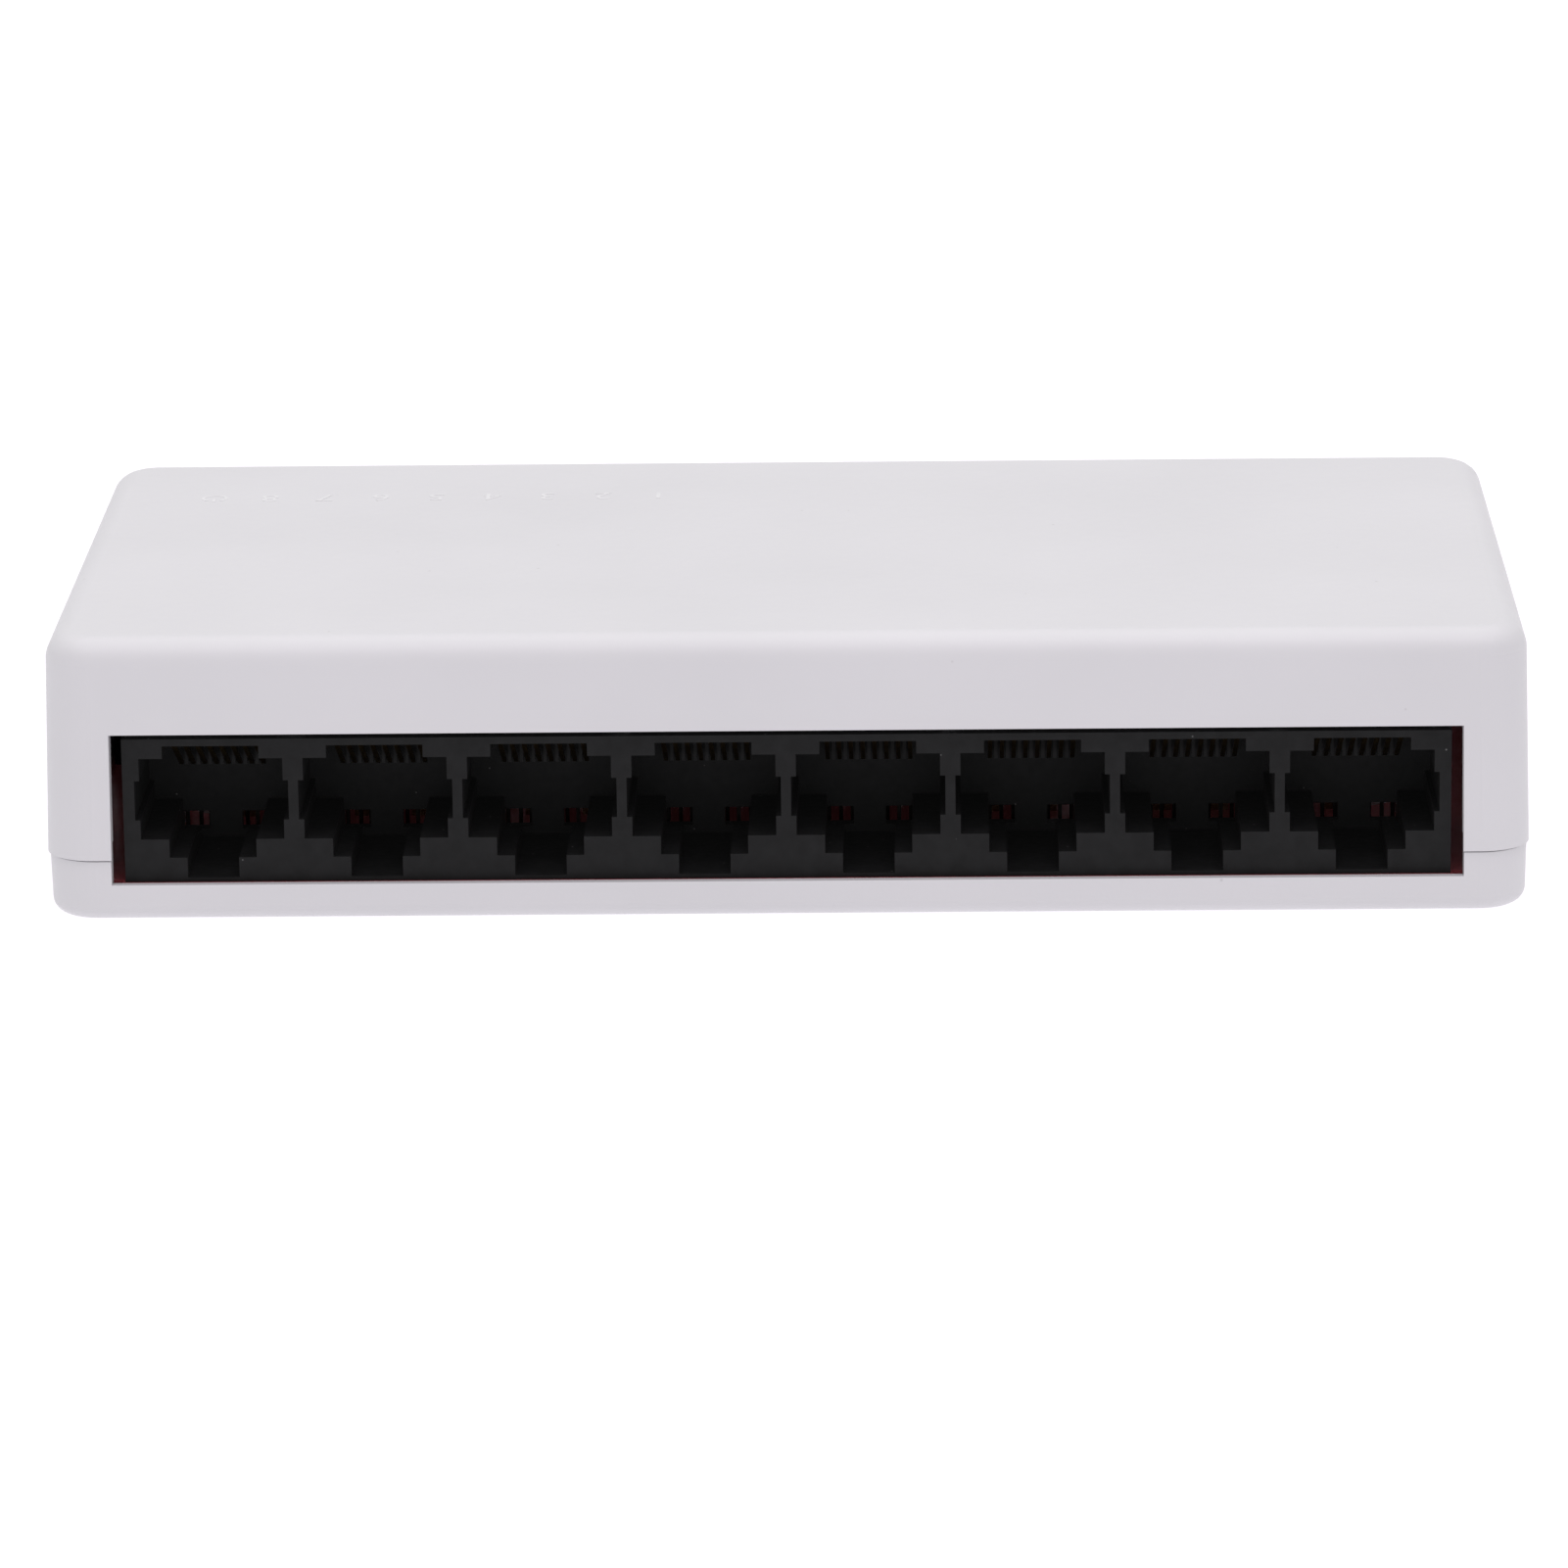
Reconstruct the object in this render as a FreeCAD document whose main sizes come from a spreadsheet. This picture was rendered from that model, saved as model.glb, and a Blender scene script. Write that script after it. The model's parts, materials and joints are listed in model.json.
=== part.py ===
import FreeCAD, Part
import math
import os
import Sketcher

# Eight-port desktop network switch. Millimetres, +Z up. The sockets open towards -Y, X runs along
# the row of sockets, and the origin is under the middle of the case on the surface it stands on.

SIZES = {
    # case: two plastic shells that part low on the walls
    "case_width": 126.5,
    "case_depth": 68.0,
    "case_bottom": 1.2,
    "case_top": 25.8,
    "seam": 6.62,
    "wall": 1.8,
    "roof": 2.0,
    "floor_thick": 1.2,
    "corner_radius": 4.2,
    "roof_edge_radius": 2.3,
    "floor_edge_radius": 1.3,
    "inner_edge_radius": 0.8,
    "wall_draft": 1.2,
    "base_inset": 0.18,
    "seam_gap": 0.14,
    "post_wall": 0.6,
    "sink_slack": 0.15,
    "sink_spare": 0.1,
    "foot_slack": 0.1,
    "keyholes": 2,
    "lip_root": 0.6,
    "lip_height": 1.2,
    "lip_thick": 0.7,
    "lip_gap": 0.1,
    # window in front of the sockets
    "window_width": 115.0,
    "window_lean": 0.13,
    "window_top": 17.6,
    "sill_top": 4.39,
    "sill_thick": 0.78,
    # circuit board
    "board_bottom": 3.1,
    "board_thick": 1.2,
    "board_width": 122.0,
    "board_tongue_width": 113.3,
    "board_corner": 1.8,
    "lead_hole": 0.42,
    "peg_slack": 0.08,
    "locator_slack": 0.1,
    "screw_slack": 0.3,
    "tag_hole": 1.2,
    "board_front": -31.7,
    "board_nose": -32.85,
    "board_rear": 22.0,
    # row of sockets
    "port_pitch": 13.97,
    "ports": 8,
    "jack_width": 112.9,
    "jack_height": 12.6,
    "jack_depth": 18.0,
    "jack_front": -32.5,
    "port_depth": 13.0,
    "latch_floor": 0.39,
    "latch_step": 2.15,
    "port_floor": 3.77,
    "notch_floor": 5.47,
    "notch_top": 8.93,
    "port_top": 10.88,
    "comb_top": 11.98,
    "latch_width": 4.4,
    "step_width": 7.42,
    "port_width": 12.24,
    "notch_width": 13.12,
    "comb_width": 8.22,
    "comb_fin_depth": 2.2,
    "comb_fin_thick": 0.3,
    "comb_fin_floor": 7.5,
    "peep_offset": 2.55,
    "peep_width": 2.3,
    "peep_floor": 1.1,
    "peep_height": 1.6,
    "peg_radius": 1.6,
    "peg_length": 1.7,
    "peg_setback": 6.0,
    # contacts and the inserts that carry them
    "contact_pitch": 1.016,
    "contacts": 8,
    "wire_width": 0.35,
    "wire_thick": 0.3,
    "bend_radius": 0.275,
    "bend_depth": 4.9,
    "bend_height": 11.225,
    "blade_length": 7.6,
    "blade_slope": 26.5,
    "tongue_thick": 0.45,
    "tail_setback": 15.2,
    "tail_stagger": 1.6,
    "tail_below_board": 0.45,
    "insert_width": 10.2,
    "insert_floor": 3.7,
    "insert_top": 11.9,
    "insert_depth": 3.6,
    "insert_gap": 0.1,
    "tongue_root": 0.5,
    "lead_way_setback": 1.5,
    "lead_way_depth": 4.6,
    # power inlet in the left wall
    "inlet_length": 14.2,
    "inlet_width": 9.0,
    "inlet_height": 10.8,
    "inlet_face": -61.2,
    "inlet_y": 10.5,
    "inlet_axis": 6.5,
    "inlet_bore": 3.15,
    "inlet_bore_depth": 9.5,
    "inlet_hole": 4.6,
    "inlet_pin": 1.05,
    "inlet_pin_recess": 0.8,
    "inlet_neck": 0.8,
    "inlet_leaf_offset": 3.1,
    "inlet_back": 0.9,
    "inlet_slot_x": 5.5,
    "inlet_slot_length": 6.4,
    "inlet_slot_width": 0.8,
    "inlet_slot_height": 9.0,
    "inlet_leaf_length": 6.0,
    "inlet_leaf_thick": 0.5,
    "inlet_leaf_foot": 2.4,
    "inlet_leaf_height": 6.2,
    "inlet_leaf_tail": 6.2,
    "inlet_leaf_tail_width": 1.4,
    "inlet_tag_thick": 0.5,
    "inlet_tag_width": 1.8,
    "inlet_tag_setback": 0.45,
    # fixings
    "screw_front_x": 50.0,
    "screw_front_y": -8.0,
    "screw_rear_x": 54.0,
    "screw_rear_y": 26.6,
    "boss_radius": 2.9,
    "screw_hole": 1.5,
    "screw_shank": 1.45,
    "screw_length": 11.0,
    "screw_head": 2.7,
    "screw_head_height": 1.25,
    "screw_sunk": 0.05,
    "screw_tip": 0.5,
    "screw_tip_length": 1.4,
    "cross_length": 2.8,
    "cross_width": 0.6,
    "cross_depth": 0.95,
    "locator_radius": 1.2,
    "foot_radius": 5.0,
    "foot_recess": 0.5,
    "foot_softening": 0.4,
    "foot_x": 45.0,
    "foot_front_y": -22.0,
    "foot_rear_y": 24.0,
    "keyhole_x": -3.0,
    "keyhole_y": 26.6,
    "keyhole_spacing": 60.0,
    "keyhole_radius": 3.6,
    "keyhole_slot": 1.8,
    "keyhole_travel": 6.0,
    "stop_thick": 1.4,
    "stop_length": 12.0,
    "stops": 4,
    "locator_front_x": 54.0,
    "locator_front_y": -12.5,
    "locator_rear_x": 40.0,
    "locator_rear_y": 19.5,
    "locator_proud": 0.8,
    "pad_radius": 2.2,
    "overlap": 0.4,
    "cut_past": 1.0,
    "cut_through": 4.0,
    "rear_cut": 10.0,
    # vents
    "vent_width": 1.6,
    "vent_pitch": 4.0,
    "vent_cut": 8.0,
    "floor_vents": 6,
    "floor_vent_length": 22.0,
    "floor_vent_x": 18.0,
    "floor_vent_y": 3.0,
    "side_vent_height": 9.0,
    "side_vent_foot": 3.2,
    "right_vents": 9,
    "right_vent_y": 2.0,
    "left_vents": 5,
    "left_vent_y": -13.0,
    # indicators
    "lights": 9,
    "light_pitch": 5.04,
    "light_first_x": -52.6,
    "light_y": 18.8,
    "light_width": 1.4,
    "light_length": 3.3,
    "light_skin": 0.6,
    "light_slack": 0.2,
    "lamp_length": 1.6,
    "lamp_width": 0.8,
    "lamp_height": 0.75,
    "guide_lift": 1.0,
    "guide_bar_size": 2.2,
    "guide_bar_past": 3.0,
    "guide_bar_drop": 0.2,
    "guide_gap": 0.1,
    # transformer modules behind the sockets
    "magnetics_y": -3.0,
    "magnetics_count": 4,
    "magnetics_side_leads": 12,
    "magnetics_pitch": 23.0,
    "magnetics_length": 17.5,
    "magnetics_width": 9.6,
    "magnetics_height": 5.6,
    "magnetics_lift": 0.3,
    # switch controller
    "chip_x": 12.0,
    "chip_y": 12.5,
    "chip_side": 14.0,
    "chip_side_leads": 20,
    "chip_height": 1.4,
    "chip_lift": 0.1,
    # power parts
    "regulator_x": -18.5,
    "regulator_y": 9.0,
    "regulator_length": 6.5,
    "regulator_width": 3.5,
    "regulator_height": 1.6,
    "leg_pitch": 2.3,
    "leg_width": 0.7,
    "leg_length": 1.5,
    "leg_thick": 0.25,
    "leg_out": 2.5,
    "tab_length": 3.0,
    "inductor_x": -27.5,
    "inductor_y": 9.0,
    "inductor_side": 7.0,
    "inductor_height": 3.8,
    "inductor_corner": 1.6,
    "can_first_x": -42.3,
    "can_count": 2,
    "can_pitch": 7.1,
    "can_y": 8.2,
    "can_radius": 3.15,
    "can_height": 6.8,
    "can_base": 6.6,
    "can_base_height": 1.0,
    # clock crystal
    "crystal_x": 31.0,
    "crystal_y": 12.5,
    "crystal_span": 6.6,
    "crystal_width": 4.6,
    "crystal_height": 3.3,
    "crystal_plate_length": 12.0,
    "crystal_plate_width": 4.7,
    "crystal_plate_thick": 0.4,
    # small surface-mount parts
    "cap_count": 20,
    "cap_pitch": 5.0,
    "cap_y": -11.4,
    "cap_length": 1.6,
    "cap_width": 0.8,
    "cap_height": 0.8,
    "resistor_columns": 6,
    "resistor_rows": 2,
    "resistor_x": 41.0,
    "resistor_y": 8.0,
    "resistor_column_pitch": 2.5,
    "resistor_row_pitch": 3.0,
    "resistor_length": 1.6,
    "resistor_width": 0.8,
    "resistor_height": 0.5,
}

# Gull-wing leads: pitch, reach from the package, width, and height at which they leave it.
MAGNETICS_LEAD = {"pitch": 1.27, "reach": 1.9, "width": 0.5, "lift": 1.2}
CHIP_LEAD = {"pitch": 0.65, "reach": 1.3, "width": 0.28, "lift": 0.9}
LEAD_THICK = 0.2

doc = FreeCAD.newDocument("NetworkSwitch")
dim = doc.addObject("Spreadsheet::Sheet", "dim")
nodes = []


def fill_sheet():
    """Writes each driving size into a cell that carries its name."""
    for row, (alias, value) in enumerate(SIZES.items(), 1):
        dim.set(f"A{row}", alias)
        dim.set(f"B{row}", str(value))
        dim.setAlias(f"B{row}", alias)
    doc.recompute()


def number(text):
    """The value of an expression over the sheet's cells."""
    return float(dim.evalExpression(str(text)))


def bind(item, **links):
    """Ties properties of an object to expressions."""
    for prop, text in links.items():
        item.setExpression(prop, str(text))


def place(item, x, y, z, rotation=None):
    """Ties an object's position to three expressions, after turning it."""
    if rotation:
        axis, angle = rotation
        item.Placement = FreeCAD.Placement(FreeCAD.Vector(), FreeCAD.Rotation(FreeCAD.Vector(*axis), angle))
    for letter, text in zip("xyz", (x, y, z)):
        item.setExpression(f"Placement.Base.{letter}", str(text))


def block(name, x, y, bottom, length, width, height):
    """A box centred on x and y that stands on bottom."""
    item = doc.addObject("Part::Box", name)
    bind(item, Length=length, Width=width, Height=height)
    place(item, f"({x}) - ({length}) / 2", f"({y}) - ({width}) / 2", bottom)
    return item


TURNS = {"+Z": None, "+X": ((0, 1, 0), 90), "+Y": ((1, 0, 0), -90)}


def rod(name, x, y, z, radius, length, along="+Z"):
    """A cylinder that starts at a point and runs along an axis."""
    item = doc.addObject("Part::Cylinder", name)
    bind(item, Radius=radius, Height=length)
    place(item, x, y, z, TURNS[along])
    return item


def cone(name, x, y, z, radius_low, radius_high, height):
    """A cone on a vertical axis."""
    item = doc.addObject("Part::Cone", name)
    bind(item, Radius1=radius_low, Radius2=radius_high, Height=height)
    place(item, x, y, z)
    return item


def fuse(name, shapes):
    item = doc.addObject("Part::MultiFuse", name)
    item.Shapes = shapes
    return item


def group(name, shapes):
    item = doc.addObject("Part::Compound", name)
    item.Links = shapes
    return item


def cut(name, base, tools):
    item = doc.addObject("Part::Cut", name)
    item.Base = base
    item.Tool = tools[0] if len(tools) == 1 else fuse(f"{name}_tools", tools)
    return item


def keep(item, label):
    """Makes an object one of the sub-parts, under its own name."""
    item.Label = label
    nodes.append(item)
    return item


def from_shape(name, shape):
    """A feature for shapes that repeat along rows and bends that no primitive makes."""
    item = doc.addObject("Part::Feature", name)
    item.Shape = shape
    return item


def origin_plane(body, role):
    for item in body.Origin.OriginFeatures:
        if item.Role == role:
            return item
    raise LookupError(role)


def polygon_sketch(body, name, plane, height, points):
    """A closed outline of straight lines. Each corner is a pair of expressions."""
    sketch = body.newObject("Sketcher::SketchObject", name)
    sketch.AttachmentSupport = (origin_plane(body, plane), [""])
    sketch.MapMode = "FlatFace"
    sketch.setExpression("AttachmentOffset.Base.z", str(height))
    corners = [FreeCAD.Vector(number(x), number(y), 0) for x, y in points]
    count = len(corners)
    for k, corner in enumerate(corners):
        sketch.addGeometry(Part.LineSegment(corner, corners[(k + 1) % count]), False)
    for k in range(count):
        sketch.addConstraint(Sketcher.Constraint("Coincident", k, 2, (k + 1) % count, 1))
    for k, (corner, texts) in enumerate(zip(corners, points)):
        for kind, value, text in zip(("DistanceX", "DistanceY"), (corner.x, corner.y), texts):
            index = sketch.addConstraint(Sketcher.Constraint(kind, -1, 1, k, 1, value))
            sketch.setExpression(f"Constraints[{index}]", str(text))
    return sketch


def extruded(name, plane, start, length, points, reverse=False):
    """A body padded from one straight-sided outline."""
    body = doc.addObject("PartDesign::Body", name)
    sketch = polygon_sketch(body, f"{name}_outline", plane, start, points)
    pad = body.newObject("PartDesign::Pad", f"{name}_pad")
    pad.Profile = sketch
    pad.Reversed = reverse
    bind(pad, Length=length)
    body.Tip = pad
    return body


def rounded(body, feature, name, edges, radius):
    """Fillets the named edges of a body's last feature."""
    fillet = body.newObject("PartDesign::Fillet", name)
    fillet.Base = (feature, edges)
    bind(fillet, Radius=radius)
    body.Tip = fillet
    doc.recompute()
    return fillet


def drafted_block(name, width, depth, start, height, corner, edge="", down=False):
    """A rounded block whose walls lean in as they leave the starting plane."""
    half_x = f"({width}) / 2"
    half_y = f"({depth}) / 2"
    corners = [
        (f"-{half_x}", f"-{half_y}"),
        (half_x, f"-{half_y}"),
        (half_x, half_y),
        (f"-{half_x}", half_y),
    ]
    body = extruded(name, "XY_Plane", start, height, corners, down)
    pad = body.Tip
    bind(pad, TaperAngle="-dim.wall_draft")
    doc.recompute()
    upright = [
        f"Edge{k}"
        for k, line in enumerate(pad.Shape.Edges, 1)
        if abs(line.Vertexes[0].Z - line.Vertexes[-1].Z) > number(height) / 2
    ]
    last = rounded(body, pad, f"{name}_corners", upright, corner)
    if edge:
        far = number(start) + number(height) * (-1 if down else 1)
        rim = [
            f"Edge{k}"
            for k, line in enumerate(last.Shape.Edges, 1)
            if all(abs(v.Z - far) < 0.01 for v in line.Vertexes)
        ]
        rounded(body, last, f"{name}_edge", rim, edge)
    return body


BOARD_TOP = "(dim.board_bottom + dim.board_thick)"
FLOOR_TOP = "(dim.case_bottom + dim.floor_thick)"
ROOF_BOTTOM = "(dim.case_top - dim.roof)"
SCREWS = [
    ("-dim.screw_front_x", "dim.screw_front_y"),
    ("dim.screw_front_x", "dim.screw_front_y"),
    ("-dim.screw_rear_x", "dim.screw_rear_y"),
    ("dim.screw_rear_x", "dim.screw_rear_y"),
]


LOCATORS = [
    ("-dim.locator_front_x", "dim.locator_front_y"),
    ("dim.locator_front_x", "dim.locator_front_y"),
    ("-dim.locator_rear_x", "dim.locator_rear_y"),
    ("dim.locator_rear_x", "dim.locator_rear_y"),
]


def light_x(k):
    return f"dim.light_first_x + {k} * dim.light_pitch"


def port_x(k):
    return f"({k} - (dim.ports - 1) / 2) * dim.port_pitch"


def stop_x(k):
    """Every second socket's edge, where the roof holds the housing down and a peg locates it."""
    return f"({k} - (dim.stops - 1) / 2) * 2 * dim.port_pitch"


def row_place(k, count, pitch):
    """Where the k-th of count things stands in a row about zero."""
    return f"({k} - ({count} - 1) / 2) * {pitch}"


def side_vents(name, side):
    """Upright slots through one side wall."""
    slots = []
    count = f"dim.{name}_vents"
    foot = "dim.seam + dim.side_vent_foot"
    for k in range(int(number(count))):
        x = f"{side} * dim.case_width / 2"
        y = f"dim.{name}_vent_y + {row_place(k, count, 'dim.vent_pitch')}"
        slot = block(f"{name}_vent_{k}", x, y, foot, "dim.vent_cut", "dim.vent_width", "dim.side_vent_height")
        slots.append(slot)
    return slots


def window(name, bottom, top):
    """The cut through the front wall that shows the sockets; its sides lean in a little as they rise."""
    low = "dim.window_width / 2"
    high = "(dim.window_width / 2 - dim.window_lean)"
    corners = [(low, bottom), (high, top), (f"-{high}", top), (f"-({low})", bottom)]
    inside = "dim.case_depth / 2 - dim.wall - dim.cut_past / 2"
    return extruded(name, "XZ_Plane", inside, "dim.wall + dim.cut_past", corners)


def inlet_hole(name):
    """The round hole in the left wall through which the power plug passes."""
    x = "-dim.case_width / 2 - dim.cut_past"
    z = f"{BOARD_TOP} + dim.inlet_axis"
    return rod(f"{name}_inlet_hole", x, "dim.inlet_y", z, "dim.inlet_hole", "dim.cut_through", "+X")


def light_pockets():
    """Pockets under the roof that leave a thin skin for the lamps to shine through."""
    pockets = []
    width = "dim.light_width + 2 * dim.light_slack"
    length = "dim.light_length + 2 * dim.light_slack"
    depth = "dim.roof - dim.light_skin + dim.cut_past"
    foot = f"{ROOF_BOTTOM} - dim.cut_past"
    for k in range(int(number("dim.lights"))):
        pockets.append(block(f"light_pocket_{k}", light_x(k), "dim.light_y", foot, width, length, depth))
    return pockets


def top_shell():
    """Upper shell: roof, walls, screw bosses, board stops, window, vents and thin light windows."""
    inner_w = "dim.case_width - 2 * dim.wall"
    inner_d = "dim.case_depth - 2 * dim.wall"
    height = "dim.case_top - dim.seam"
    outer = drafted_block(
        "top_outer",
        "dim.case_width",
        "dim.case_depth",
        "dim.seam",
        height,
        "dim.corner_radius",
        "dim.roof_edge_radius",
    )
    core = drafted_block(
        "top_core",
        inner_w,
        inner_d,
        "dim.seam",
        f"{height} - dim.roof",
        "dim.corner_radius - dim.wall",
        "dim.inner_edge_radius",
    )
    cover = "(dim.wall - dim.lip_thick - dim.lip_gap)"
    rebate = drafted_block(
        "top_rebate",
        f"dim.case_width - 2 * {cover}",
        f"dim.case_depth - 2 * {cover}",
        "dim.seam",
        "dim.lip_height + dim.lip_gap",
        f"dim.corner_radius - {cover}",
    )
    hollow = cut("top_hollow", outer, [core, rebate])
    bosses = []
    holes = []
    boss_height = f"{ROOF_BOTTOM} - {BOARD_TOP} + dim.overlap"
    hole_start = f"{BOARD_TOP} - dim.overlap"
    for k, (x, y) in enumerate(SCREWS):
        bosses.append(rod(f"top_boss_{k}", x, y, BOARD_TOP, "dim.boss_radius", boss_height))
        hole_depth = "dim.screw_length + dim.cut_past"
        holes.append(rod(f"top_boss_hole_{k}", x, y, hole_start, "dim.screw_hole", hole_depth))
    stops = []
    jack_top = f"({BOARD_TOP} + dim.jack_height)"
    stop_height = f"{ROOF_BOTTOM} - {jack_top} + dim.overlap"
    stop_y = "dim.jack_front + dim.jack_depth / 2"
    for k in range(int(number("dim.stops"))):
        name = f"jack_stop_{k}"
        size = ("dim.stop_thick", "dim.stop_length", stop_height)
        stops.append(block(name, stop_x(k), stop_y, jack_top, *size))
    solid = fuse("top_solid", [hollow] + bosses + stops)
    vents = side_vents("right", 1) + side_vents("left", -1)
    cutters = [window("top_window", "0", "dim.window_top"), inlet_hole("top")] + holes + vents + light_pockets()
    keep(cut("top", solid, cutters), "top_shell")


def base_shell():
    """Lower shell: floor, low walls, tongue round the rim, posts, keyholes, vents, foot recesses."""
    rim_w = "(dim.case_width - 2 * dim.base_inset)"
    rim_d = "(dim.case_depth - 2 * dim.base_inset)"
    rim = "(dim.seam - dim.seam_gap)"
    height = f"{rim} - dim.case_bottom"
    outer = drafted_block(
        "base_outer",
        rim_w,
        rim_d,
        rim,
        height,
        "dim.corner_radius",
        "dim.floor_edge_radius",
        down=True,
    )
    thick = "(dim.wall - dim.base_inset)"
    core = drafted_block(
        "base_core",
        f"{rim_w} - 2 * {thick}",
        f"{rim_d} - 2 * {thick}",
        rim,
        f"{height} - dim.floor_thick",
        f"dim.corner_radius - {thick}",
        "dim.inner_edge_radius",
        down=True,
    )
    hollow = cut("base_hollow", outer, [core])
    out = "(dim.wall - dim.lip_thick)"
    lip_outer = drafted_block(
        "lip_outer",
        f"dim.case_width - 2 * {out}",
        f"dim.case_depth - 2 * {out}",
        "dim.seam - dim.lip_root",
        "dim.lip_height + dim.lip_root",
        f"dim.corner_radius - {out}",
    )
    lip_inner = drafted_block(
        "lip_inner",
        "dim.case_width - 2 * dim.wall",
        "dim.case_depth - 2 * dim.wall",
        "dim.seam - dim.lip_root - dim.lip_gap",
        "dim.lip_height + dim.lip_root + 2 * dim.lip_gap",
        "dim.corner_radius - dim.wall",
    )
    lip = cut("lip", lip_outer, [lip_inner])
    posts = []
    holes = []
    post_foot = f"({FLOOR_TOP} - dim.overlap)"
    sink = "dim.screw_head + dim.sink_slack"
    sink_foot = "dim.case_bottom - dim.screw_sunk"
    post_radius = "dim.boss_radius + dim.post_wall"
    for k, (x, y) in enumerate(SCREWS):
        top = BOARD_TOP if k > 1 else "dim.board_bottom"
        posts.append(rod(f"base_post_{k}", x, y, post_foot, post_radius, f"{top} - {post_foot}"))
        holes.append(rod(f"base_hole_{k}", x, y, 0, "dim.screw_hole", "dim.seam"))
        depth = "dim.screw_head_height + dim.sink_spare"
        holes.append(cone(f"base_sink_{k}", x, y, sink_foot, sink, "dim.screw_hole", depth))
    pin_height = f"{BOARD_TOP} + dim.locator_proud - {FLOOR_TOP}"
    for k, (x, y) in enumerate(LOCATORS):
        pad_height = f"dim.board_bottom - {post_foot}"
        posts.append(rod(f"board_pad_{k}", x, y, post_foot, "dim.pad_radius", pad_height))
        posts.append(rod(f"locator_{k}", x, y, FLOOR_TOP, "dim.locator_radius", pin_height))
    solid = fuse("base_solid", [hollow, lip] + posts)
    front = "-dim.case_depth / 2"
    reach = "2 * dim.wall + dim.cut_past"
    mouth = block("base_window", 0, front, "dim.sill_top", "dim.window_width", reach, "dim.seam")
    shelf_y = "(-dim.case_depth / 2 + dim.base_inset + dim.sill_thick)"
    shelf_size = ("dim.window_width", "2 * dim.cut_past", "dim.seam")
    shelf = block("base_shelf", 0, f"{shelf_y} + dim.cut_past", FLOOR_TOP, *shelf_size)
    cutters = [fuse("base_window_shelf", [mouth, shelf]), inlet_hole("base")]
    through = "dim.cut_through"
    for k in range(int(number("dim.keyholes"))):
        x = f"(dim.keyhole_x + {row_place(k, 'dim.keyholes', 'dim.keyhole_spacing')})"
        y = "dim.keyhole_y"
        entry = rod(f"keyhole_entry_{k}", x, y, 0, "dim.keyhole_radius", through)
        slot_x = f"{x} + dim.keyhole_travel / 2"
        slot_size = ("dim.keyhole_travel", "2 * dim.keyhole_slot", through)
        slot = block(f"keyhole_slot_{k}", slot_x, y, 0, *slot_size)
        end = rod(f"keyhole_end_{k}", f"{x} + dim.keyhole_travel", y, 0, "dim.keyhole_slot", through)
        cutters.append(fuse(f"keyhole_{k}", [entry, slot, end]))
    for side in (-1, 1):
        for k in range(int(number("dim.floor_vents"))):
            x = f"{side} * dim.floor_vent_x + {row_place(k, 'dim.floor_vents', 'dim.vent_pitch')}"
            name = f"floor_vent_{side + 1}_{k}"
            y = "dim.floor_vent_y"
            cutters.append(block(name, x, y, 0, "dim.vent_width", "dim.floor_vent_length", through))
        for end_name, y in (("front", "dim.foot_front_y"), ("rear", "dim.foot_rear_y")):
            x = f"{side} * dim.foot_x"
            name = f"foot_recess_{end_name}_{side + 1}"
            depth = "dim.case_bottom + dim.foot_recess"
            cutters.append(rod(name, x, y, 0, "dim.foot_radius + dim.foot_slack", depth))
    keep(cut("base", solid, cutters + holes), "base_shell")


def feet():
    """Four round rubber feet, glued into shallow recesses, with a softened lower edge."""
    for side, side_name in ((-1, "left"), (1, "right")):
        for name, y in (("front", "dim.foot_front_y"), ("rear", "dim.foot_rear_y")):
            x = f"{side} * dim.foot_x"
            height = "dim.case_bottom + dim.foot_recess"
            disc = rod(f"disc_{name}_{side_name}", x, y, 0, "dim.foot_radius", height)
            foot = doc.addObject("Part::Fillet", f"foot_{name}_{side_name}_round")
            foot.Base = disc
            doc.recompute()
            low = [
                k for k, e in enumerate(disc.Shape.Edges, 1) if all(abs(v.Z) < 1e-6 for v in e.Vertexes)
            ]
            softening = number("dim.foot_softening")
            foot.Edges = [(k, softening, softening) for k in low]
            keep(foot, f"foot_{name}_{side_name}")


def screws():
    """Countersunk case screws with a cross recess."""
    parts = []
    start = "(dim.case_bottom + dim.screw_sunk)"
    radius = "dim.screw_shank"
    tip_z = f"{start} + dim.screw_length"
    depth = f"{start} + dim.cross_depth"
    for k, (x, y) in enumerate(SCREWS):
        head = cone(f"screw_head_{k}", x, y, start, "dim.screw_head", radius, "dim.screw_head_height")
        shank = rod(f"screw_shank_{k}", x, y, start, radius, "dim.screw_length")
        point = cone(f"screw_point_{k}", x, y, tip_z, radius, "dim.screw_tip", "dim.screw_tip_length")
        cross = [
            block(f"cross_a_{k}", x, y, 0, "dim.cross_length", "dim.cross_width", depth),
            block(f"cross_b_{k}", x, y, 0, "dim.cross_width", "dim.cross_length", depth),
        ]
        parts.append(cut(f"screw_{k}", fuse(f"screw_solid_{k}", [head, shank, point]), cross))
    keep(group("screws", parts), "case_screws")


# ---------------------------------------------------------------- sockets

JACK_FLOOR = BOARD_TOP


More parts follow.
